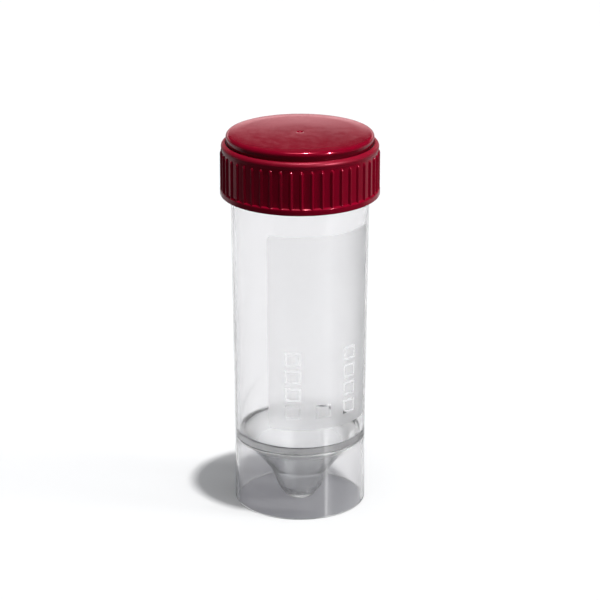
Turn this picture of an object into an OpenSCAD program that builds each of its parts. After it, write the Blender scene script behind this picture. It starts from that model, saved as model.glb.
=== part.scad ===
// Skirted conical specimen tube with a ribbed screw cap.
//
// The tube is one clear moulding: a drafted wall, a conical bottom, and below the cone a skirt on
// which the tube stands. The cap is one coloured moulding with a raised disc, a shoulder bead,
// grip ribs, a bottom bead and a ring-shaped plug that seals inside the mouth.
// Frame: +Z up, Z = 0 at the foot, X = Y = 0 on the tube's axis, front towards -Y. Millimetres.

/* [Tube] */
// Height of the open tube, from the foot to the rim
tube_h = 78.5; // [60:0.5:120]
// Outer diameter of the skirt and foot
foot_d = 27.4; // [24:0.2:34]
// Height of the straight, undrafted outside of the skirt
straight_h = 16; // [14:0.5:19]
// Draft of the moulded walls, in degrees on each side
draft = 0.6; // [0.2:0.05:0.9]
// Thickness of the tube's wall
wall = 0.9; // [0.6:0.05:1.3]
// Height of the narrower lip below the rim
lip_h = 1.7; // [1:0.1:3]
// How far the lip steps in from the neck
lip_step = 0.3; // [0.1:0.05:0.45]
// Rounding of the rim's two edges
rim_round = 0.25; // [0.1:0.05:0.35]

/* [Skirt and cone] */
// Thickness of the skirt at the foot
skirt_wall = 0.7; // [0.5:0.05:1]
// Rounding of the foot's outer edge
foot_round = 0.3; // [0.1:0.05:0.4]
// Height of the underside of the ring that joins wall, cone and skirt
ring_z = 14.5; // [12:0.25:15.5]
// Thickness of that ring
ring_t = 1.2; // [0.9:0.1:1.4]
// Width of the flat underside between the skirt and the cone
ring_ledge = 0.75; // [0.4:0.05:2]
// Thickness of the cone
cone_wall = 1.0; // [0.7:0.05:1.4]
// Outer radius of the cone's ball-shaped tip
tip_r = 4.4; // [3:0.1:6]
// Height of the tip above the surface that the tube stands on
tip_lift = 0.3; // [0.1:0.1:2]
// Rounding where the inside wall turns into the ring
floor_round = 0.5; // [0.2:0.05:0.8]
// Rounding where the ring rolls over into the inside of the cone
lip_roll = 1.5; // [0.5:0.1:2.5]
// Rounding below the ring, outside the cone
ring_fillet = 1.3; // [0.4:0.1:1.6]

/* [Cap] */
// Overall height of the cap
cap_h = 12.9; // [11:0.1:16]
// Thickness of the top plate
top_t = 1.4; // [1:0.1:2]
// Depth of the shallow dish in the top face
dish = 0.12; // [0.05:0.01:0.3]
// Width of the flat rim round the dish
dish_rim = 1.6; // [1:0.1:4]
// Height of the raised disc above the shoulder
disc_h = 2; // [1.2:0.1:2.6]
// Rounding of the disc's upper edge
disc_round = 0.9; // [0.3:0.05:1.1]
// Thickness of the raised disc's side
disc_wall = 0.75; // [0.5:0.05:1]
// Thickness of the cap's side at the bottom of the flutes
cap_wall = 0.9; // [0.7:0.05:1.3]
// Radius of the rolled shoulder bead
shoulder_r = 0.55; // [0.35:0.05:0.7]
// How far the shoulder bead stands out from the flutes
shoulder_out = 0.13; // [0.05:0.01:0.3]
// Height of the plain bead at the cap's bottom
bead_h = 1.3; // [0.8:0.1:2.5]
// Rounding of the bottom bead's lower edge
bead_round = 0.45; // [0.2:0.05:0.6]
// How far the bottom bead stands out from the crests of the ribs
bead_out = 0.02; // [0.01:0.01:0.2]
// Chamfer at the mouth of the cap's bore
bore_chamfer = 0.3; // [0.1:0.05:0.5]

/* [Grip ribs] */
// Number of ribs
ribs = 48; // [24:2:60]
// Radius of a rib
rib_r = 0.4; // [0.2:0.02:0.5]
// Depth of a rib's axis below the bottom of the flutes
rib_depth = 0.02; // [0.02:0.01:0.1]
// Distance from the top of the ribs down from the shoulder bead's centre
rib_drop = 1.3; // [0.9:0.1:3]
// Turn of the first rib from the front, in degrees
rib_turn = 1; // [-3:0.5:3]

/* [Plug seal] */
// Depth of the plug below the cap's ceiling
plug_h = 2.7; // [1.5:0.1:4]
// Thickness of the plug's ring
plug_wall = 0.8; // [0.5:0.05:1.2]
// Taper of the plug, from its root to its tip, on the radius
plug_taper = 0.2; // [0.05:0.05:0.4]

/* [Fits] */
// Radial room for the thread between the neck and the cap's bore
thread_room = 0.72; // [0.5:0.02:1.2]
// Radial gap between the lip and the cap's top pocket
lip_gap = 0.4; // [0.2:0.05:0.6]
// Radial gap between the plug and the mouth
seal_gap = 0.1; // [0.05:0.01:0.2]
// Gap between the rim and the cap's ceiling
seat_gap = 0.1; // [0.02:0.02:0.3]

/* [Writing panel] */
// Width of the panel, measured round the tube
panel_w = 24.3; // [12:0.1:34]
// Height of the panel
panel_h = 41.8; // [24:0.2:45]
// Height of the panel's lower edge above the foot
panel_z = 20.2; // [17:0.2:21]
// Turn of the panel's middle from the front, in degrees
panel_turn = 20.4; // [-90:0.1:90]
// Thickness of the printed film
film_t = 0.08; // [0.05:0.01:0.2]
// Gap between the film and the wall
film_gap = 0.02; // [0.01:0.01:0.05]
// Number of boxes in each row that is left clear in the film, from left to right
row_boxes = [4, 1, 4];
// Turn from one row to the next, in degrees
row_turn = 26.5; // [22:0.5:30]
// Width of a box round the tube
box_w = 3.4; // [2:0.1:4]
// Height of a box along the tube
box_h = 3; // [2:0.1:3.6]
// Spacing of the boxes along the tube
box_pitch = 3.9; // [3.8:0.1:4.6]
// Width of the clear line round a box
box_line = 0.5; // [0.3:0.05:0.8]
// Height of the lowest box above the panel's lower edge
row_z = 2.4; // [1:0.1:5]

/* [Hidden] */
$fn = 144;
arc_step = 12;      // degrees between the points of a rounding
edge_share = 0.48;  // most of an edge that one rounding may use up
sink = 0.2;         // depth to which a rib runs into what carries it
small_round = 0.2;  // rounding of the cap's small inner edges
overcut = 1;        // how far a cutter runs past what it cuts

// Radii of the tube
foot_r = foot_d / 2;
function body_r(z) = foot_r + max(0, z - straight_h) * tan(draft);
function bore_r(z) = body_r(z) - wall;
function skirt_bore_r(z) = foot_r - skirt_wall - z * tan(draft);
lip_z = tube_h - lip_h;
lip_r = body_r(tube_h) - lip_step;

// Cone: a ball of radius tip_r with the tangent line from it to the ring's underside
floor_z = ring_z + ring_t;
tip_z = tip_lift + tip_r;
cone_top = [skirt_bore_r(ring_z) - ring_ledge, ring_z];
cone_angle = atan2(cone_top.x, cone_top.y - tip_z) - asin(tip_r / norm(cone_top - [0, tip_z]));
function cone_r(z, ball_r) = (ball_r + (z - tip_z) * sin(cone_angle)) / cos(cone_angle);

// Heights of the cap
ceiling_z = tube_h + seat_gap;
cap_top = ceiling_z + top_t;
cap_z = cap_top - cap_h;
shoulder_z = cap_top - disc_h;
shoulder_mid = shoulder_z - shoulder_r;
rib_top = shoulder_mid - rib_drop;
bead_z = cap_z + bead_h;
shoulder_low = shoulder_mid - 1.5 * shoulder_r;
pocket_z = lip_z + lip_step;

// Radii of the cap
cap_bore_r = body_r(tube_h) + thread_room;
flute_r = cap_bore_r + cap_wall;
rib_axis_r = flute_r - rib_depth;
crest_r = rib_axis_r + rib_r;
bead_r = crest_r + bead_out;
pocket_r = lip_r + lip_gap;
disc_r = pocket_r + disc_wall;
shoulder_out_r = flute_r + shoulder_out;
plug_r = bore_r(tube_h) - seal_gap;

// Writing panel
film_r = film_gap + film_t;
function turn_of(width) = width / body_r(panel_z + panel_h / 2) * 180 / PI;
front = -90;

// Points of an arc about a centre
function arc(centre, r, from, to) =
    let (steps = max(1, ceil(abs(to - from) / arc_step)))
    [for (i = [0:steps]) let (a = from + (to - from) * i / steps) centre + r * [cos(a), sin(a)]];

function unit(v) = v / norm(v);
function angle_of(v) = atan2(v.y, v.x);
function short_turn(a) = a > 180 ? a - 360 : a < -180 ? a + 360 : a;

// Points that round the corner q, between p and s, with radius r as far as its edges allow
function corner(p, q, s, r) =
    let (
        u = unit(p - q),
        v = unit(s - q),
        half = acos(u * v) / 2,
        room = edge_share * min(norm(p - q), norm(s - q)),
        rr = min(r, room * tan(half)),
        centre = q + unit(u + v) * rr / sin(half),
        from = angle_of(q + u * rr / tan(half) - centre),
        to = angle_of(q + v * rr / tan(half) - centre)
    )
    arc(centre, rr, from, from + short_turn(to - from));

// Outline through [x, y, radius] corners, the first and last of which stay sharp
function rounded(c) = [
    for (i = [0:len(c) - 1])
        let (q = [c[i].x, c[i].y])
        each (c[i].z == 0 || i == 0 || i == len(c) - 1) ? [q] :
            corner([c[i - 1].x, c[i - 1].y], q, [c[i + 1].x, c[i + 1].y], c[i].z)
];

// Half-section of the tube: inside from the tip to the rim, outside to the foot, and back below
function tube_section() =
    let (
        inner_ball = tip_r - cone_wall,
        cone_in = [cone_r(floor_z, inner_ball), floor_z, lip_roll],
        ball_out = [0, tip_z] + tip_r * [cos(cone_angle), -sin(cone_angle)]
    )
    concat(
        arc([0, tip_z], inner_ball, -90, -cone_angle),
        rounded([
            [0, tip_z, 0] + [inner_ball * cos(cone_angle), -inner_ball * sin(cone_angle), 0],
            cone_in,
            [bore_r(floor_z), floor_z, floor_round],
            each straight_h > floor_z ? [[bore_r(straight_h), straight_h, 0]] : [],
            [bore_r(tube_h), tube_h, rim_round],
            [lip_r, tube_h, rim_round],
            [lip_r, lip_z + lip_step, 0],
            [body_r(lip_z), lip_z, 0],
            [foot_r, straight_h, 0],
            [foot_r, 0, foot_round],
            [skirt_bore_r(0), 0, 0],
            [skirt_bore_r(ring_z), ring_z, 0],
            [cone_top.x, cone_top.y, ring_fillet],
            [ball_out.x, ball_out.y, 0]
        ]),
        arc([0, tip_z], tip_r, -cone_angle, -90)
    );

// Half-section of the cap without its ribs: top face and outside, then back up the inside
function cap_section() =
    let (shoulder_x = shoulder_out_r - shoulder_r)
    concat(
        [[0, ceiling_z], [0, cap_top - dish]],
        rounded([
            [disc_r / 2, cap_top - dish, 0],
            [disc_r - disc_round - dish_rim, cap_top, 0],
            [disc_r, cap_top, disc_round],
            [disc_r, shoulder_z, 0]
        ]),
        arc([shoulder_x, shoulder_mid], shoulder_r, 90, -30),
        rounded([
            [flute_r, shoulder_low, 0],
            [flute_r, bead_z + bead_r - flute_r, 0],
            [bead_r, bead_z, small_round],
            [bead_r, cap_z, bead_round],
            [cap_bore_r + bore_chamfer, cap_z, 0],
            [cap_bore_r, cap_z + bore_chamfer, 0],
            [cap_bore_r, pocket_z - (cap_bore_r - pocket_r), 0],
            [pocket_r, pocket_z, 0],
            [pocket_r, ceiling_z, small_round],
            [plug_r, ceiling_z, 0],
            [plug_r - plug_taper, ceiling_z - plug_h, small_round],
            [plug_r - plug_wall, ceiling_z - plug_h, small_round],
            [plug_r - plug_wall, ceiling_z, 0]
        ])
    );

// One grip rib: a half-round bar with a domed top, sunk into the cap's side
module grip_rib() {
    translate([rib_axis_r, 0, bead_z - sink]) cylinder(r = rib_r, h = rib_top - rib_r - bead_z + sink);
    translate([rib_axis_r, 0, rib_top - rib_r]) sphere(rib_r);
}

// Part of the film's layer, from one height to another, over an arc about the front: inner and outer
// are how far it reaches out from the tube's wall
module film(inner, outer, from_z, to_z, arc) {
    rotate(-arc / 2) rotate_extrude(angle = arc) polygon([
        [body_r(from_z) + inner, from_z],
        [body_r(from_z) + outer, from_z],
        [body_r(to_z) + outer, to_z],
        [body_r(to_z) + inner, to_z]
    ]);
}

// The film's layer with room on both sides, for cutting
module film_cutter(from_z, to_z, arc) {
    film(film_gap - overcut, film_r + overcut, from_z, to_z, arc);
}

// The clear line round a box that stands on from_z
module tick_box(from_z) {
    difference() {
        film_cutter(from_z, from_z + box_h, turn_of(box_w));
        film(film_gap - 2 * overcut, film_r + 2 * overcut, from_z + box_line, from_z + box_h - box_line,
            turn_of(box_w - 2 * box_line));
    }
}

module tube() {
    color([0.90, 0.92, 0.93, 0.5]) rotate_extrude() polygon(tube_section());
}

module cap() {
    color([0.42, 0.01, 0.06]) {
        rotate_extrude() polygon(cap_section());
        for (i = [0:ribs - 1]) rotate(front + rib_turn + i * 360 / ribs) grip_rib();
    }
}

module writing_panel() {
    rows = len(row_boxes);
    color([0.86, 0.87, 0.88]) rotate(front + panel_turn) difference() {
        film(film_gap, film_r, panel_z, panel_z + panel_h, turn_of(panel_w));
        for (row = [0:rows - 1], i = [0:row_boxes[row] - 1])
            rotate((row - (rows - 1) / 2) * row_turn) tick_box(panel_z + row_z + i * box_pitch);
    }
}

tube();
cap();
writing_panel();
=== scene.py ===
# %% [markdown]
# # A skirted specimen tube with a screw cap
# This lesson dresses a small clear laboratory tube that stands on its own skirt and is closed by a
# red screw cap. The exact solids come from the CAD model, which is loaded first as a fixed frame:
# every size of a piece is either read from that frame or is a named value in millimetres. All new
# pieces are drawn in metres, in the same frame: +Z is up, the foot stands on Z = 0, the tube's axis
# is X = Y = 0, and the front faces -Y.

# %% Load the frame
import math

import bpy
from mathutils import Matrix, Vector


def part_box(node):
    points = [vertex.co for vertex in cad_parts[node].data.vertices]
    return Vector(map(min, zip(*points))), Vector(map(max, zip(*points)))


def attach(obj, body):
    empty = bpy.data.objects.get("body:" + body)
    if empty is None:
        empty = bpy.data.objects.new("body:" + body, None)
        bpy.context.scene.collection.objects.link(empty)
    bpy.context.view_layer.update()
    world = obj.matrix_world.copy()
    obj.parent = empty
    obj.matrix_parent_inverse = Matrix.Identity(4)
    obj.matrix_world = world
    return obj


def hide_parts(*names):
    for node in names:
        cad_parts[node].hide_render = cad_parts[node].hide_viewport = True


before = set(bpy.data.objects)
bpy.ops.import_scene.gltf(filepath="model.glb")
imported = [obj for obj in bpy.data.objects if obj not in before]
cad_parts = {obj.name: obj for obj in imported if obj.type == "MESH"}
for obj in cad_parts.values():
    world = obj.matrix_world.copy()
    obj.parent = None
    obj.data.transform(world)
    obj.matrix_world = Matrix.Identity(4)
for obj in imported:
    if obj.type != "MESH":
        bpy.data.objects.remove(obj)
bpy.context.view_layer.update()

MM = 0.001
tube_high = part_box("tube")[1]
cap_low, cap_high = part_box("cap")
panel_low, panel_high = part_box("writing_panel")

# %% [markdown]
# ## Outlines
# A tube and a cap are turned shapes, so both are drawn as half of their outline and spun about the
# axis. A mould has no sharp corners: `rounded` walks along an outline and replaces each corner by a
# short arc of the radius that the corner asks for, as far as the two edges beside it leave room. An
# arc too small to be seen as one gets fewer points.

# %% Arcs
ARC_STEP = math.radians(10)
SMALL_RADIUS = 0.15
SMALL_STEP = math.radians(22.5)


def arc(centre, radius, start, stop):
    """Points (radius, height) on an arc, with angles in radians from the outward direction."""
    step = ARC_STEP if radius > SMALL_RADIUS else SMALL_STEP
    steps = max(1, math.ceil(abs(stop - start) / step))
    angles = [start + (stop - start) * i / steps for i in range(steps + 1)]
    x, z = centre
    return [Vector((x + radius * math.cos(a), z + radius * math.sin(a))) for a in angles]


print("a quarter of a circle:", len(arc((0, 0), 1, 0, math.pi / 2)), "points")

# %% Rounded corners
STRAIGHT = math.radians(89.9)
ROOM_SHARE = 0.48


def corner(before, at, after, radius):
    """An arc that rounds the corner `at` between its two neighbours."""
    to_before = (before - at).normalized()
    to_after = (after - at).normalized()
    half = to_before.angle(to_after) / 2
    if half > STRAIGHT:
        return [at]
    room = ROOM_SHARE * min((before - at).length, (after - at).length)
    radius = min(radius, room * math.tan(half))
    reach = radius / math.tan(half)
    centre = at + (to_before + to_after).normalized() * radius / math.sin(half)
    spoke = at + to_before * reach - centre
    start = math.atan2(spoke.y, spoke.x)
    spoke = at + to_after * reach - centre
    swing = (math.atan2(spoke.y, spoke.x) - start + math.pi) % math.tau - math.pi
    return arc(centre, radius, start, start + swing)


def rounded(corners):
    """An outline through (radius, height, rounding) corners in millimetres."""
    points = [Vector(c[:2]) for c in corners]
    outline = [points[0]]
    roundings = [c[2] for c in corners[1:]]
    for before, at, after, rounding in zip(points, points[1:], points[2:], roundings):
        outline += corner(before, at, after, rounding) if rounding else [at]
    return outline + [points[-1]]


print("a rounded corner:", len(rounded([(0, 0, 0), (1, 0, 0.3), (1, 1, 0)])), "points")

# %% [markdown]
# ## Turning an outline into a solid
# By hand, a turned piece starts as one vertex that is extruded along the outline, edge by edge, and
# is then spun a full turn. The spin leaves its last step on top of its first, so doubles are merged
# and the normals are recalculated to point outwards. Shading smooth by angle keeps the rounded
# corners soft, and Weighted Normal lets the large faces decide, so that a wide wall doesn't bend the
# light near its ends.

# %% Outline and spin
TURN_STEPS = 144
WELD = 0.0005 * MM


def deselect_all():
    """Leaves no object selected."""
    for obj in bpy.context.selected_objects:
        obj.select_set(False)


def draw_outline(name, outline):
    """A chain of edges in the XZ plane through (radius, height) points in millimetres."""
    deselect_all()
    bpy.ops.mesh.primitive_plane_add(size=MM)
    obj = bpy.context.object
    obj.name = obj.data.name = name
    bpy.ops.object.mode_set(mode="EDIT")
    bpy.ops.mesh.merge(type="CENTER")
    bpy.ops.transform.translate(value=(outline[0].x * MM, 0, outline[0].y * MM))
    for start, end in zip(outline, outline[1:]):
        step = ((end.x - start.x) * MM, 0, (end.y - start.y) * MM)
        bpy.ops.mesh.extrude_region_move(TRANSFORM_OT_translate={"value": step})
    return obj


def turn(name, outline):
    """Spins an outline a full turn about the Z axis and leaves a closed solid."""
    obj = draw_outline(name, outline)
    bpy.ops.mesh.select_all(action="SELECT")
    bpy.ops.mesh.spin(steps=TURN_STEPS, angle=math.tau, center=(0, 0, 0), axis=(0, 0, 1))
    bpy.ops.mesh.select_all(action="SELECT")
    bpy.ops.mesh.remove_doubles(threshold=WELD)
    bpy.ops.mesh.normals_make_consistent(inside=False)
    bpy.ops.object.mode_set(mode="OBJECT")
    return obj


print("one step of a turn:", math.degrees(math.tau / TURN_STEPS), "degrees")

# %% Shading
SHARP_ANGLE = math.radians(35)


def finish_shading(obj):
    """Smooth shading with the sharp edges kept, and large faces in charge of the normals."""
    deselect_all()
    obj.select_set(True)
    bpy.context.view_layer.objects.active = obj
    bpy.ops.object.shade_smooth_by_angle(angle=SHARP_ANGLE)
    bpy.ops.object.modifier_add(type="WEIGHTED_NORMAL")
    obj.modifiers[-1].keep_sharp = True
    bpy.ops.object.modifier_apply(modifier=obj.modifiers[-1].name)
    print(f"{obj.name}: {len(obj.data.vertices)} vertices, {len(obj.data.polygons)} faces")


# %% [markdown]
# ## The tube
# The real tube is one injection moulding in clear polypropylene. Its wall opens by just over half a
# degree towards the mouth, so that it leaves the mould, and the foot is a skirt round a cone that ends
# in a blunt tip. Seen through the wall, every thickness shows, so the tube is drawn with its inside
# and its outside as one closed solid: only then does light bend twice at each wall, as in plastic.

# %% Sizes of the tube
foot_r = 13.7
straight_h = 16
draft = math.tan(math.radians(0.6))
wall = 0.9
skirt_wall = 0.7
ring_z = 14.3
ledge_w = 0.75
floor_z = 15.7
knee_r, knee_z = 6.1, 6.7
tip_r, tip_z = 4.5, 2.6
tip_low = 0.3
cone_wall = 1.0
rim_z = tube_high.z / MM
lip_z = rim_z - 1.7
cap_z = cap_low.z / MM
print("rim at", round(rim_z, 2), "mm, cap's mouth at", round(cap_z, 2), "mm")


# %% Drafted walls and the slope of the cone
def body_r(z):
    """Outer radius of the wall at a height."""
    return foot_r + max(0, z - straight_h) * draft


def skirt_r(z):
    """Inner radius of the skirt at a height."""
    return foot_r - skirt_wall - z * draft


cone_top_r = skirt_r(ring_z) - ledge_w
cone_slope = math.atan2(cone_top_r - knee_r, ring_z - knee_z)
cone_across = cone_wall / math.cos(cone_slope)
funnel_r = cone_top_r + (floor_z - ring_z) * math.tan(cone_slope) - cone_across
print("half angle of the cone:", round(math.degrees(cone_slope), 2), "degrees")

# %% Outline of the tube, from the tip's inside over the rim to the foot and back below
lip_r = body_r(rim_z) - 0.3
inside = [
    (0, tip_low + cone_wall, 0),
    (tip_r - cone_wall - 1.2, tip_low + cone_wall, 1),
    (tip_r - cone_wall, tip_z + 0.3, 2),
    (knee_r - cone_across + 0.1, knee_z + 0.2, 1.2),
    (funnel_r, floor_z, 1.5),
    (body_r(floor_z) - wall, floor_z, 0.5),
    (body_r(straight_h) - wall + 0.01, straight_h + 1, 0),
    (body_r(cap_z) - wall, cap_z, 0),
    (body_r(rim_z) - wall, rim_z, 0.25),
]
outside = [
    (lip_r, rim_z, 0.25),
    (lip_r, lip_z + 0.3, 0.1),
    (body_r(lip_z), lip_z, 0.1),
    (body_r(cap_z), cap_z, 0),
    (foot_r, straight_h, 0),
    (foot_r, 0, 0.3),
]
below = [
    (skirt_r(0), 0, 0.2),
    (skirt_r(ring_z), ring_z, 0.4),
    (cone_top_r, ring_z, 1.3),
    (knee_r, knee_z, 0.9),
    (tip_r, tip_z, 2),
    (tip_r - 1.7, tip_low, 1),
    (0, tip_low, 0),
]
tube_outline = rounded(inside + outside + below)
tube = turn("tube_body", tube_outline)
print("outline of the tube:", len(tube_outline), "points")

# %% [markdown]
# ## The screw thread
# The neck carries a good turn and a half of thread, which shows when the cap is off. By hand, a thread
# is one face that is extruded again and again, each time turned a little about the axis and lifted a
# little. The first and last faces are shrunk, so that the ridge runs out into the wall. A Boolean
# union then makes the ridge one with the neck, because two clear solids that overlap would show
# their hidden faces.

# %% A helical ridge
THREAD_STEPS = 48
RUN_OUT = 5
END_SIZE = 0.25
pitch = 3.5
thread_turns = 1.6


def thread(name, root_r, crest_r, start_z, root_w, crest_w, start_angle=0):
    """A ridge of trapezoid section that climbs anticlockwise and tapers at both ends."""
    deselect_all()
    bpy.ops.mesh.primitive_plane_add(size=MM, rotation=(math.pi / 2, 0, 0))
    bpy.ops.object.transform_apply(location=True, rotation=True, scale=True)
    obj = bpy.context.object
    obj.name = obj.data.name = name
    for v in obj.data.vertices:
        r, width = (crest_r, crest_w) if v.co.x > 0 else (root_r, root_w)
        z = start_z + math.copysign(width / 2, v.co.z)
        v.co = (r * MM, 0, z * MM)
    bpy.ops.object.mode_set(mode="EDIT")
    bpy.ops.mesh.select_all(action="SELECT")
    steps = round(thread_turns * THREAD_STEPS)
    angle = math.tau / THREAD_STEPS
    sizes = [min(1, (END_SIZE + min(i, steps - i)) / RUN_OUT) for i in range(steps + 1)]

    def root_at(i):
        a = i * angle
        z = start_z + pitch * i / THREAD_STEPS
        return (root_r * MM * math.cos(a), root_r * MM * math.sin(a), z * MM)

    bpy.ops.transform.resize(value=(sizes[0],) * 3, center_override=root_at(0))
    for i in range(steps):
        bpy.ops.mesh.extrude_region_move()
        bpy.ops.transform.rotate(value=-angle, orient_axis="Z", center_override=(0, 0, 0))
        bpy.ops.transform.translate(value=(0, 0, pitch / THREAD_STEPS * MM))
        bpy.ops.transform.resize(value=(sizes[i + 1] / sizes[i],) * 3, center_override=root_at(i + 1))
    bpy.ops.mesh.select_all(action="SELECT")
    bpy.ops.mesh.normals_make_consistent(inside=False)
    bpy.ops.transform.rotate(value=-start_angle, orient_axis="Z", center_override=(0, 0, 0))
    bpy.ops.object.mode_set(mode="OBJECT")
    return obj


print("thread of", thread_turns, "turns, pitch", pitch, "mm")


# %% Union of the neck and its thread
def unite(obj, other):
    """Joins `other` to `obj` by a Boolean union, and removes it."""
    deselect_all()
    bpy.context.view_layer.objects.active = obj
    obj.select_set(True)
    bpy.ops.object.modifier_add(type="BOOLEAN")
    union = obj.modifiers[-1]
    union.operation = "UNION"
    union.solver = "EXACT"
    union.object = other
    bpy.ops.object.modifier_apply(modifier=union.name)
    bpy.data.objects.remove(other)


thread_z = cap_z + 2.6
root_depth, ridge = 0.25, 0.5
neck_r = body_r(thread_z)
neck_thread = thread(
    "neck_thread", neck_r - root_depth, neck_r + ridge, thread_z, root_w=1.5, crest_w=0.6)
reach = max(v.co.xy.length for v in neck_thread.data.vertices) / MM
print("thread reaches", round(reach, 3), "mm from the axis")
unite(tube, neck_thread)
finish_shading(tube)

# %% [markdown]
# ## The writing panel
# A thin film of frosted ink is printed on the wall, with three rows of boxes left clear in it. It is
# cut flat, as on a cutting mat: one plane, its corners bevelled round, bisected along every line that
# matters, and the clear lines deleted. Solidify gives the film its thickness, and the flat sheet is
# then rolled onto the wall.

# %% Sizes of the panel
panel_w = 24.3
panel_z = panel_low.z / MM
panel_h = panel_high.z / MM - panel_z
panel_turn = math.radians(22)
corner_r = 1.0
film = 0.05
film_gap = 0.02
print("panel", round(panel_w, 1), "x", round(panel_h, 1), "mm")

# %% Rows of boxes
# Boxes in each row, from left to right; a row runs up the wall.
rows = [4, 1, 4]
row_turn = math.radians(26.5)
rows_aside = math.radians(1.6)
box_w, box_h, box_pitch, box_line = 3.4, 3.0, 3.9, 0.5
row_z = panel_z + 2.4
mid_r = body_r(panel_z + panel_h / 2)
boxes = [(((row - 1) * row_turn - rows_aside) * mid_r, row_z + i * box_pitch + box_h / 2)
         for row, count in enumerate(rows) for i in range(count)]
print(len(boxes), "boxes")

# %% Cut the flat sheet
deselect_all()
bpy.ops.mesh.primitive_plane_add(size=1)
panel = bpy.context.object
panel.name = panel.data.name = "frosted_panel"
bpy.ops.object.mode_set(mode="EDIT")
bpy.ops.transform.resize(value=(panel_w * MM, panel_h * MM, 1))
bpy.ops.mesh.bevel(offset=corner_r * MM, segments=6, affect="VERTICES")


def cut(line_x=None, line_y=None):
    """Bisects the flat sheet along one line, given in millimetres from the sheet's centre."""
    across = line_x is not None
    bpy.ops.mesh.select_all(action="SELECT")
    bpy.ops.mesh.bisect(
        plane_co=(line_x * MM, 0, 0) if across else (0, line_y * MM, 0),
        plane_no=(1, 0, 0) if across else (0, 1, 0))


def to_sheet(z):
    """Height on the tube to height on the flat sheet, whose centre is the panel's centre."""
    return z - panel_z - panel_h / 2


print("sheet spans", round(to_sheet(panel_z), 2), "to", round(to_sheet(panel_z + panel_h), 2))

# %% Cut along the boxes and along the roll
edges_x = set()
edges_y = set()
for x, z in boxes:
    for reach in (box_w / 2, box_w / 2 - box_line):
        edges_x |= {round(x - reach, 4), round(x + reach, 4)}
    for reach in (box_h / 2, box_h / 2 - box_line):
        edges_y |= {round(to_sheet(z - reach), 4), round(to_sheet(z + reach), 4)}
for x in edges_x:
    cut(line_x=x)
for y in edges_y:
    cut(line_y=y)
roll_step = 0.6
for i in range(1, round(panel_w / roll_step)):
    cut(line_x=i * roll_step - panel_w / 2)
bpy.ops.object.mode_set(mode="OBJECT")
print("sheet cut into", len(panel.data.polygons), "faces")


# %% Delete the clear lines round the boxes
def in_line(point):
    """True on the clear line round a box: inside its outer square and outside its inner one."""
    for x, z in boxes:
        across = abs(point.x / MM - x)
        along = abs(point.y / MM - to_sheet(z))
        if across < box_w / 2 and along < box_h / 2:
            return across > box_w / 2 - box_line or along > box_h / 2 - box_line
    return False


bpy.ops.object.mode_set(mode="EDIT")
bpy.ops.mesh.select_mode(type="FACE")
bpy.ops.mesh.select_all(action="DESELECT")
bpy.ops.object.mode_set(mode="OBJECT")
for face in panel.data.polygons:
    face.select = in_line(face.center)
bpy.ops.object.mode_set(mode="EDIT")
bpy.ops.mesh.delete(type="FACE")
bpy.ops.mesh.select_mode(type="VERT")
bpy.ops.object.mode_set(mode="OBJECT")
print("faces left:", len(panel.data.polygons))

# %% Thicken the sheet and roll it onto the wall
bpy.ops.object.modifier_add(type="SOLIDIFY")
panel.modifiers[-1].thickness = film * MM
panel.modifiers[-1].offset = 1
bpy.ops.object.modifier_apply(modifier=panel.modifiers[-1].name)
front = -math.pi / 2
for v in panel.data.vertices:
    x, y, lift = v.co
    z = panel_z * MM + panel_h * MM / 2 + y
    r = (body_r(z / MM) + film_gap) * MM + lift
    a = front + panel_turn + x / (mid_r * MM)
    v.co = (r * math.cos(a), r * math.sin(a), z)
bpy.ops.object.mode_set(mode="EDIT")
bpy.ops.mesh.select_all(action="SELECT")
bpy.ops.mesh.normals_make_consistent(inside=False)
bpy.ops.object.mode_set(mode="OBJECT")
finish_shading(panel)

# %% [markdown]
# ## The cap
# The cap is moulded in red polyethylene: a nearly flat disc above a rounded shoulder, 48 fine grip
# ribs, and a bead at the mouth. Inside, a plug ring seals in the bore of the tube. A rib is too small
# to model on its own and add later, because its root must flow into the wall without an edge. So one
# forty-eighth of the cap is spun, with its steps crowded together where the rib will be. A rib is
# raised in the middle of it, and the slice is then copied round the axis by the spin tool's
# duplicates.

# %% Sizes of the cap
cap_top = cap_high.z / MM
ceiling_z = cap_top - 1.4
bore_r = body_r(rim_z) + 0.72
flute_r = bore_r + 0.9
bead_r = flute_r + 0.4
bead_z = cap_z + 1.3
pocket_r = lip_r + 0.4
disc_r = pocket_r + 0.85
plug_r = body_r(rim_z) - wall - 0.1
shoulder = 0.85
shoulder_mid = cap_top - 2 - shoulder
crown = 0.12
print("cap is", round(cap_top - cap_z, 2), "mm high, bead", round(2 * bead_r, 2), "mm wide")

# %% Sizes of the ribs
ribs = 48
first_rib = front + math.radians(1)
rib_rise = 0.36
rib_half = 0.32
rib_top = cap_top - 3.75
rib_fade = 0.65
rib_power = 0.65
print(ribs, "ribs,", round(math.tau * flute_r / ribs, 2), "mm apart")

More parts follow.
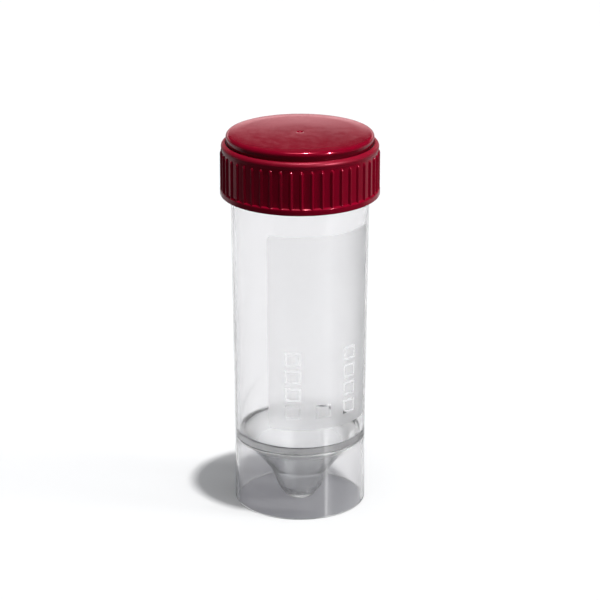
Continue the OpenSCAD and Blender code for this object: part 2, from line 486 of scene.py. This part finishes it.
# %% Outline of the top: gate mark, slightly crowned disc, groove and shoulder
# The gate is given by radius, depth below the top and rounding; the crown by radius and share of
# its whole fall.
gate = [(0, 0.04, 0), (0.24, 0.04, 0.04), (0.34, 0.12, 0.04), (0.52, 0.12, 0.06), (0.66, 0, 0.08)]
crown_falls = [(1, 0), (2.5, 0), (4.5, 0.03), (6, 0.09), (7.5, 0.2), (9.5, 0.38), (12, 0.63)]
disc = [(r, cap_top - fall, rounding) for r, fall, rounding in gate]
disc += [(r, cap_top - fall * crown, 0) for r, fall in crown_falls]
disc += [
    (disc_r, cap_top - crown, 0.75),
    (disc_r - 0.45, cap_top - 2.3, 0.1),
    (flute_r - shoulder - 0.05, cap_top - 2.2, 0),
]
shoulder_arc = arc(
    (flute_r - shoulder + 0.13, shoulder_mid), shoulder, math.radians(88), math.radians(-24))
print("disc", round(2 * disc_r, 2), "mm wide, crowned by", crown, "mm")

# %% Outline of the side: grip, bead, and back up the inside to the plug
fade_rings = [(flute_r, rib_top - 0.09 * i, 0) for i in range(-1, 9)]
grip_rings = [(flute_r, z, 0) for z in (74.8, 73.2, 71.6, 70.0)]
grip = [(flute_r + 0.03, shoulder_mid - 0.5, 0), (flute_r, shoulder_mid - 0.8, 0.3)]
grip += fade_rings + grip_rings
mouth = [
    (flute_r, bead_z + 0.16, 0.12),
    (bead_r, bead_z, 0.3),
    (bead_r, cap_z, 0.3),
    (bore_r + 0.3, cap_z, 0.08),
    (bore_r, cap_z + 0.3, 0.1),
    (bore_r, lip_z + 0.3 - bore_r + pocket_r, 0.1),
    (pocket_r, lip_z + 0.3, 0.1),
    (pocket_r, ceiling_z, 0.1),
    (plug_r, ceiling_z, 0.05),
    (plug_r - 0.2, ceiling_z - 2.7, 0.25),
    (plug_r - 0.8, ceiling_z - 2.7, 0.1),
    (plug_r - 0.8, ceiling_z, 0.2),
    (0, ceiling_z, 0),
]
cap_outline = rounded(disc) + shoulder_arc + rounded(grip + mouth)
print("outline of the cap:", len(cap_outline), "points")

# %% One slice
SLICE_STEPS = 14
slice_angle = math.tau / ribs
cap = draw_outline("red_cap", cap_outline)
bpy.ops.mesh.select_all(action="SELECT")
bpy.ops.mesh.spin(steps=SLICE_STEPS, angle=slice_angle, center=(0, 0, 0), axis=(0, 0, 1))
bpy.ops.object.mode_set(mode="OBJECT")
print("slice of", round(math.degrees(slice_angle), 2), "degrees")

# %% Raise the rib
CROWDING = 0.5
wall_r = flute_r - 0.01
ribs_low, ribs_high = bead_z - 0.01, rib_top + 0.1


def rib_height(across, z):
    """How far a rib stands out of the flutes: a soft ridge that fades out at its top end."""
    past_end = max(0, z - (rib_top - rib_fade))
    off_crest = (across / rib_half) ** 2 + (past_end / rib_fade) ** 2
    return rib_rise * max(0, 1 - off_crest) ** rib_power


# The spin tool may have run either way round; `side` is its sense.
side = -1 if min(v.co.y for v in cap.data.vertices) < -MM else 1
for v in cap.data.vertices:
    r = v.co.xy.length / MM
    share = side * math.atan2(v.co.y, v.co.x) / slice_angle
    share += CROWDING * math.sin(math.tau * share) / math.tau
    across = (share - 0.5) * slice_angle * flute_r
    z = v.co.z / MM
    if r > wall_r and ribs_low < z < ribs_high:
        r = max(r, flute_r + rib_height(across, z))
    a = first_rib + (share - 0.5) * slice_angle
    v.co = (r * math.cos(a) * MM, r * math.sin(a) * MM, v.co.z)
print("slice has", len(cap.data.polygons), "faces")

# %% Copy the slice round the axis
bpy.ops.object.mode_set(mode="EDIT")
bpy.ops.mesh.select_all(action="SELECT")
bpy.ops.mesh.spin(
    steps=ribs - 1, angle=math.tau - slice_angle, dupli=True, center=(0, 0, 0), axis=(0, 0, 1))
bpy.ops.mesh.select_all(action="SELECT")
bpy.ops.mesh.remove_doubles(threshold=WELD)
bpy.ops.mesh.normals_make_consistent(inside=False)
bpy.ops.object.mode_set(mode="OBJECT")
finish_shading(cap)

# %% [markdown]
# ## The thread in the cap
# The cap's own ridge runs half a pitch away from the neck's, so the two mesh without touching. The
# plastic is opaque, so this ridge may simply stand with its root inside the wall.

# %% Thread in the cap
cap_start = 0.3
cap_thread = thread(
    "cap_thread", bore_r + 0.08, bore_r - 0.47, thread_z - pitch / 2 + cap_start * pitch,
    root_w=1.3, crest_w=0.5, start_angle=cap_start * math.tau)
finish_shading(cap_thread)

# %% [markdown]
# ## Materials
# Each finish is a small tree of shader nodes. A pattern reads Object coordinates, so it keeps its
# real scale and moves with its piece. Three things make moulded plastic look real: a gloss that is
# never even, a skin with faint waves where the melt cooled, and fine marks from handling. The helpers
# below keep a tree short to write: each adds a node or two and returns the socket that comes out.

# %% A new material and its nodes
def new_material(name):
    """An empty node material: the material, its tree and its output node."""
    mat = bpy.data.materials.new(name)
    mat.use_nodes = True
    mat.node_tree.nodes.clear()
    print("material", name)
    return mat, mat.node_tree, mat.node_tree.nodes.new("ShaderNodeOutputMaterial")


def node(tree, kind, **values):
    """A node of a kind; each value sets the socket of its name, with spaces as underscores."""
    made = tree.nodes.new("ShaderNode" + kind)
    for key, value in values.items():
        made.inputs[key.replace("_", " ")].default_value = value
    return made


def dress(obj, mat):
    """Gives an object one material."""
    obj.data.materials.clear()
    obj.data.materials.append(mat)
    print(obj.name, "is dressed in", mat.name)


# %% Patterns
def feed(tree, value, socket):
    """Sets a socket to a plain number, or links another socket to it."""
    if isinstance(value, (int, float)):
        socket.default_value = value
    else:
        tree.links.new(value, socket)


def combine(tree, operation, first, second):
    """Two patterns combined by a Math operation; the second may be a plain number."""
    made = node(tree, "Math")
    made.operation = operation
    feed(tree, first, made.inputs[0])
    feed(tree, second, made.inputs[1])
    return made.outputs[0]


def noise(tree, scale, detail, stretch=(1, 1, 1)):
    """A noise pattern of a scale per metre, in Object coordinates; its output is from 0 to 1."""
    coords = node(tree, "TexCoord")
    mapping = node(tree, "Mapping", Scale=stretch)
    made = node(tree, "TexNoise", Scale=scale, Detail=detail)
    tree.links.new(coords.outputs["Object"], mapping.inputs["Vector"])
    tree.links.new(mapping.outputs[0], made.inputs["Vector"])
    return made.outputs[0]


def spread(tree, value, low, high, from_low=0.3, from_high=0.7):
    """Stretches a pattern to the range from `low` to `high`."""
    made = node(tree, "MapRange", From_Min=from_low, From_Max=from_high, To_Min=low, To_Max=high)
    tree.links.new(value, made.inputs["Value"])
    return made.outputs[0]


# %% Relief, colours and layers
def bump(tree, height, depth, under=None):
    """A bump of a depth in metres, on top of another bump where one is given."""
    made = node(tree, "Bump", Strength=1.0, Distance=depth)
    tree.links.new(height, made.inputs["Height"])
    if under:
        tree.links.new(under, made.inputs["Normal"])
    return made.outputs[0]


def grey(level):
    """A colour without a hue."""
    return (level, level, level)


def blend_colours(tree, factor, first, second):
    """A colour between two, chosen by a pattern."""
    made = tree.nodes.new("ShaderNodeMix")
    made.data_type = "RGBA"
    made.inputs["A"].default_value = (*first, 1)
    made.inputs["B"].default_value = (*second, 1)
    tree.links.new(factor, made.inputs["Factor"])
    return made.outputs["Result"]


def mix_shaders(tree, factor, first, second):
    """Two shaders mixed; the factor is a number or a socket."""
    made = tree.nodes.new("ShaderNodeMixShader")
    feed(tree, factor, made.inputs["Fac"])
    tree.links.new(first, made.inputs[1])
    tree.links.new(second, made.inputs[2])
    return made.outputs[0]


# %% Kinds of rays
def rays(tree, *kinds):
    """1 for rays of these kinds, 0 for all others."""
    path = node(tree, "LightPath")
    total = path.outputs[f"Is {kinds[0]} Ray"]
    for kind in kinds[1:]:
        total = combine(tree, "MAXIMUM", total, path.outputs[f"Is {kind} Ray"])
    return total


# %% Places on a piece
def axes(tree, kind="Object"):
    """The X, Y and Z of a kind of coordinates."""
    coords = node(tree, "TexCoord")
    split = node(tree, "SeparateXYZ")
    tree.links.new(coords.outputs[kind], split.inputs[0])
    return split.outputs


def around_axis(tree):
    """Distance from the Z axis and height, both in metres."""
    coords = node(tree, "TexCoord")
    flat = node(tree, "VectorMath")
    flat.operation = "MULTIPLY"
    flat.inputs[1].default_value = (1, 1, 0)
    radius = node(tree, "VectorMath")
    radius.operation = "LENGTH"
    tree.links.new(coords.outputs["Object"], flat.inputs[0])
    tree.links.new(flat.outputs["Vector"], radius.inputs[0])
    return radius.outputs["Value"], axes(tree)["Z"]


def ramp(tree, distance, low, high, start, end):
    """Goes from `low` to `high` while a distance goes from `start` to `end`, in millimetres."""
    return spread(tree, distance, low, high, start * MM, end * MM)


# %% [markdown]
# ## Clear polypropylene
# Polypropylene is never as clear as glass: it bends light a little less, and each wall takes a little
# of it away as a soft haze. The cone and the ledge above it are dull, because that end of the mould
# is blasted, not polished, and they look a little bluer than the wall. One Principled shader does all
# of this, with its roughness and colour led by height and radius.

# %% Haze and skin of the clear wall
def blasted(tree, cone, ledge):
    """One value on the cone, another on the ledge above it, and 0 elsewhere."""
    radius, height = around_axis(tree)
    rising = ramp(tree, height, cone, ledge, ring_z - 2.3, ring_z - 0.1)
    below = ramp(tree, height, 1, 0, floor_z - 0.4, floor_z - 0.1)
    inner = ramp(tree, radius, 1, 0, foot_r - 1, foot_r - 0.8)
    return combine(tree, "MULTIPLY", combine(tree, "MULTIPLY", rising, below), inner)


clear_ior = 1.49
clear, tree, out = new_material("clear_polypropylene")
glass = node(tree, "BsdfPrincipled", IOR=clear_ior, Transmission_Weight=0.968)
tint = blend_colours(tree, blasted(tree, 1, 0), (0.987, 0.985, 0.984), (0.99, 0.995, 1))
haze = spread(tree, noise(tree, 90, 3), 0.04, 0.1)
waves = bump(tree, noise(tree, 140, 1, (1, 1, 0.35)), 5e-6)
marks = bump(tree, noise(tree, 900, 3, (1, 1, 0.08)), 1.2e-6, waves)
tree.links.new(tint, glass.inputs["Base Color"])
tree.links.new(combine(tree, "ADD", haze, blasted(tree, 0.12, 0.85)), glass.inputs["Roughness"])
tree.links.new(marks, glass.inputs["Normal"])

# %% [markdown]
# The mould for a round part is turned on a lathe, and its fine rings stay on the skin. They spread a
# reflection up and down into a narrow streak, which an anisotropic gloss with its tangent round the
# axis gives. The rings show best on the outside of the foot and are faint elsewhere. A clear solid
# would cast a black shadow where the renderer cannot trace light through it, so the rays that carry
# light to a dull surface meet a plain see-through shader instead, clear where the wall faces them
# and dark at its edges.

# %% Lathe rings on the clear wall
ring_share = 0.024
rings = node(tree, "BsdfAnisotropic", Roughness=0.34, Anisotropy=0.8)
radius, height = around_axis(tree)
above_foot = ramp(tree, height, 0, 1, straight_h + 0.5, straight_h + 4.5)
inside_foot = ramp(tree, radius, 1, 0, foot_r - 0.5, foot_r - 0.2)
faint = combine(tree, "MAXIMUM", above_foot, inside_foot)
tree.links.new(blend_colours(tree, faint, grey(1), grey(0.25)), rings.inputs["Color"])
around = node(tree, "Tangent")
around.direction_type = "RADIAL"
around.axis = "Z"
tree.links.new(around.outputs[0], rings.inputs["Tangent"])
wall_skin = mix_shaders(tree, ring_share, glass.outputs[0], rings.outputs[0])
print("the rings are", ring_share, "of the skin")

# %% Light through the clear wall
edge = node(tree, "Fresnel", IOR=clear_ior).outputs[0]
shade = blend_colours(tree, edge, (0.96, 0.965, 0.97), (0.12, 0.125, 0.13))
through = node(tree, "BsdfTransparent")
tree.links.new(shade, through.inputs["Color"])
surface = mix_shaders(tree, rays(tree, "Shadow", "Diffuse"), wall_skin, through.outputs[0])
tree.links.new(surface, out.inputs["Surface"])
dress(tube, clear)

# %% [markdown]
# ## Frosted ink
# The ink of the writing panel is a thin milky film, rough enough for a pencil. Light passes it, but
# the view behind it is blurred. A fine grain roughens it, and its density varies a little, as the
# screen that printed it lays it down. Seen at a slant, light goes a longer way through the film, so
# it looks denser where the wall turns away.

# %% Frosted panel
frosted, tree, out = new_material("frosted_ink")
ink = node(tree, "BsdfPrincipled", IOR=1.15, Transmission_Weight=0.97)
patches = spread(tree, noise(tree, 260, 4), 0, 0.08)
slant = spread(tree, node(tree, "LayerWeight").outputs["Facing"], 0, 0.92, 0.1, 0.7)
density = combine(tree, "ADD", patches, slant)
tree.links.new(blend_colours(tree, density, grey(0.995), grey(0.7)), ink.inputs["Base Color"])
tree.links.new(spread(tree, noise(tree, 700, 3), 0.4, 0.55), ink.inputs["Roughness"])
tree.links.new(bump(tree, noise(tree, 5200, 2), 4e-6), ink.inputs["Normal"])
through = node(tree, "BsdfTransparent", Color=(*grey(0.88), 1))
surface = mix_shaders(tree, rays(tree, "Shadow", "Diffuse"), ink.outputs[0], through.outputs[0])
tree.links.new(surface, out.inputs["Surface"])
dress(panel, frosted)

# %% [markdown]
# ## Red polyethylene
# The cap is dyed all through in one deep red. Where the melt flowed it dries to slightly different
# reds, the skin has long soft waves from cooling, and a fine grain dulls the gloss unevenly. The
# shoulder is duller than the rest, where the mould is harder to polish. Shade is painted into the
# colour of the groove between the shoulder and the disc. A second gloss, deep red, is mixed in, most
# of all on the disc.

# %% Colour of the red cap, with painted shade in its groove
def band(tree, distance, level, rise, fall):
    """A level that rises from 0 and falls back, each over a start and an end in millimetres."""
    rising = ramp(tree, distance, 0, level, *rise)
    return combine(tree, "MULTIPLY", rising, ramp(tree, distance, 1, 0, *fall))


groove_r = 15.31
red, tree, out = new_material("red_polyethylene")
plastic = node(
    tree, "BsdfPrincipled", IOR=1.5, Specular_IOR_Level=0.6, Specular_Tint=(1, 0.3, 0.4, 1))
radius, height = around_axis(tree)
# Painted shade: the red is darkened in the groove under the disc, where shade falls. The flow pattern
# below is the plastic's own tone.
groove_shade = band(tree, height, 0.45, (cap_top - 2.8, cap_top - 2.4), (cap_top - 1.2, cap_top - 0.8))
groove_shade = combine(tree, "MULTIPLY", groove_shade, ramp(tree, radius, 1, 0, groove_r, groove_r + 0.05))
flow = spread(tree, noise(tree, 110, 4, (1, 1, 0.5)), 0.86, 1)
red_tone_and_groove_shade = combine(tree, "SUBTRACT", flow, groove_shade)
tree.links.new(blend_colours(tree, red_tone_and_groove_shade, grey(0), (0.332, 0.001, 0.021)), plastic.inputs["Base Color"])

# %% Gloss and skin of the red cap
dull = band(tree, height, 0.28, (cap_top - 3.8, cap_top - 3.2), (cap_top - 1.9, cap_top - 1.6))
gloss = combine(tree, "ADD", spread(tree, noise(tree, 500, 4), 0.08, 0.14), dull)
soft_waves = bump(tree, noise(tree, 150, 1, (1, 1, 0.6)), 2.5e-6)
grain = bump(tree, noise(tree, 3500, 3), 1.5e-6, soft_waves)
deep = node(tree, "BsdfAnisotropic", Color=(1, 0.06, 0.12, 1))
for shader in (plastic, deep):
    tree.links.new(gloss, shader.inputs["Roughness"])
    tree.links.new(grain, shader.inputs["Normal"])
on_top = ramp(tree, height, 0.02, 0.12, cap_top - 1.2, cap_top - 0.3)
surface = mix_shaders(tree, on_top, plastic.outputs[0], deep.outputs[0])
tree.links.new(surface, out.inputs["Surface"])
dress(cap, red)
dress(cap_thread, red)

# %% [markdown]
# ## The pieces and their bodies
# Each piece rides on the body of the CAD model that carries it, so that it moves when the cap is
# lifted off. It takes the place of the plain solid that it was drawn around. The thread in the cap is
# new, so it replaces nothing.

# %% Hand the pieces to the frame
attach(tube, "tube")
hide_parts("tube")
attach(panel, "tube")
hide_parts("writing_panel")
for piece in (cap, cap_thread):
    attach(piece, "cap")
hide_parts("cap")

# %% [markdown]
# ## The paper
# The tube stands on white paper that looks endless. Light Path lets the paper look white to the eye
# and through the clear wall, while it throws less light back up at the object, as a small sheet in a
# dark room does. Reflections see it at its brightest only in a patch behind the object, which widens
# away from it. Through the plastic the paper glows a little more.

# %% Floor
deselect_all()
bpy.ops.mesh.primitive_plane_add(size=2, location=(0, 0.86, 0))
bpy.ops.object.transform_apply(location=True, rotation=True, scale=True)
floor = bpy.context.object
floor.name = floor.data.name = "floor"
print("floor laid")

# %% Lit patch on the paper
paper, tree, out = new_material("white_paper")
patch_half, patch_slope = 0.015, 2
patch_far = 0.45
place = axes(tree)
aside = combine(tree, "SUBTRACT", combine(tree, "ABSOLUTE", place["X"], 0), patch_half)
aside = combine(tree, "MULTIPLY", combine(tree, "MAXIMUM", aside, 0), patch_slope)
near_end = spread(tree, combine(tree, "SUBTRACT", place["Y"], aside), 0, 1, -0.01, 0.02)
far_end = spread(tree, place["Y"], 1, patch_far, 0.19, 0.21)
beyond = spread(tree, place["Y"], 0, patch_far, 0.02, 0.1)
lit_patch = combine(tree, "MAXIMUM", combine(tree, "MULTIPLY", near_end, far_end), beyond)
print("patch is", round(2 * patch_half / MM), "mm wide at its near end")

# %% White paper
glow_level = 0.1
sheet = node(tree, "BsdfPrincipled", Roughness=0.9, Specular_IOR_Level=0.1)
mirrored = combine(tree, "MULTIPLY", rays(tree, "Glossy"), lit_patch)
seen = combine(tree, "MAXIMUM", rays(tree, "Camera", "Transmission"), mirrored)
tree.links.new(blend_colours(tree, seen, grey(0.07), grey(0.825)), sheet.inputs["Base Color"])
behind = rays(tree, "Transmission")
glow = node(tree, "Emission")
tree.links.new(blend_colours(tree, behind, grey(1), (0.92, 0.91, 1)), glow.inputs["Color"])
seen_glow = spread(tree, seen, 0, glow_level, 0, 1)
more = combine(tree, "MULTIPLY", behind, glow_level)
tree.links.new(combine(tree, "ADD", seen_glow, more), glow.inputs["Strength"])
both = node(tree, "AddShader")
tree.links.new(sheet.outputs[0], both.inputs[0])
tree.links.new(glow.outputs[0], both.inputs[1])
tree.links.new(both.outputs[0], out.inputs["Surface"])
dress(floor, paper)

# %% [markdown]
# ## The room
# The room is plain white to the eye and through the clear wall. Reflections see a dark room with one
# bright strip low behind the object, which its slanting surfaces catch. Dull surfaces gather a faint
# bluish light that is stronger on the right.

# %% Strip of light behind the object
world = bpy.data.worlds.new("studio")
bpy.context.scene.world = world
world.use_nodes = True
tree = world.node_tree
tree.nodes.clear()
out = tree.nodes.new("ShaderNodeOutputWorld")
strip_level, dark_level = 1.7, 0.04
strip_foot = [math.sin(math.radians(a)) for a in (8, 12)]
strip_head = [math.sin(math.radians(a)) for a in (12.4, 15.5)]
way = axes(tree, "Generated")
head = spread(tree, way["Z"], strip_level, dark_level, *strip_head)
strip = combine(tree, "MULTIPLY", head, spread(tree, way["Z"], 0.25, 1, *strip_foot))
strip = combine(tree, "MULTIPLY", strip, spread(tree, way["Y"], 0.05, 1, 0.65, 0.88))
print("strip of level", strip_level, "in a room of level", dark_level)

# %% Room
strip = combine(tree, "MAXIMUM", strip, dark_level)
mirrored = combine(tree, "MULTIPLY", strip, rays(tree, "Glossy"))
right_side = spread(tree, way["X"], 0.06, 0.24, -1, 1)
gathered = combine(tree, "MULTIPLY", right_side, rays(tree, "Diffuse"))
level = combine(tree, "MAXIMUM", mirrored, gathered)
level = combine(tree, "MAXIMUM", level, rays(tree, "Camera", "Transmission"))
sky = node(tree, "Background")
tree.links.new(level, sky.inputs["Strength"])
tint = blend_colours(tree, rays(tree, "Diffuse"), grey(1), (0.88, 0.92, 1))
tree.links.new(tint, sky.inputs["Color"])
tree.links.new(sky.outputs[0], out.inputs["Surface"])
print("white to the eye, dark in the reflections")

# %% [markdown]
# ## The lamps
# Four distant lamps light the object: a hard key lamp almost overhead, a soft lamp near it, a low
# fill lamp from the right that reflections don't show, and a glint lamp that lights no dull surface
# and draws the bright streak down the clear wall.

# %% Lamps
def sun(name, towards, level, angle):
    """A distant lamp at `towards` that lights a facing white surface to `level`."""
    bpy.ops.object.light_add(type="SUN")
    lamp = bpy.context.object
    lamp.name = name
    lamp.rotation_mode = "QUATERNION"
    lamp.rotation_quaternion = Vector(towards).to_track_quat("Z", "Y")
    lamp.data.energy = level * math.pi
    lamp.data.angle = math.radians(angle)
    print(name, "from", tuple(round(t, 2) for t in towards), "at level", level)
    return lamp


def from_angles(around, above):
    """Direction of a lamp: degrees to the right of the front, and degrees above the floor."""
    a, e = math.radians(around), math.radians(above)
    return (math.sin(a) * math.cos(e), -math.cos(a) * math.cos(e), math.sin(e))


sun("key_lamp", from_angles(41, 82), 0.78, 2.5)
sun("soft_lamp", from_angles(-8, 83), 0.15, 25)
fill = sun("fill_lamp", from_angles(80, 12), 0.44, 20)
fill.visible_glossy = False
glint = sun("glint_lamp", from_angles(49, 28), 1.0, 4)
glint.visible_diffuse = False

# %% [markdown]
# ## The camera
# A long lens half a metre away keeps the sides of the tube almost parallel. It looks down at an angle
# that shows the disc of the cap as a narrow ellipse and the cone through the clear foot.

# %% Camera
aim_z = 0.0438
tilt = math.radians(19.457)
distance = 0.50907
bpy.ops.object.camera_add()
camera = bpy.context.object
camera.name = "camera"
camera.location = (0, -distance * math.cos(tilt), aim_z + distance * math.sin(tilt))
camera.rotation_euler = (math.pi / 2 - tilt, 0, 0)
camera.data.lens = 146.96
camera.data.sensor_width = 36
bpy.context.scene.camera = camera
bpy.context.scene.view_settings.view_transform = "Standard"
print("camera looks", round(math.degrees(tilt), 1), "degrees down from", round(distance, 3), "m")
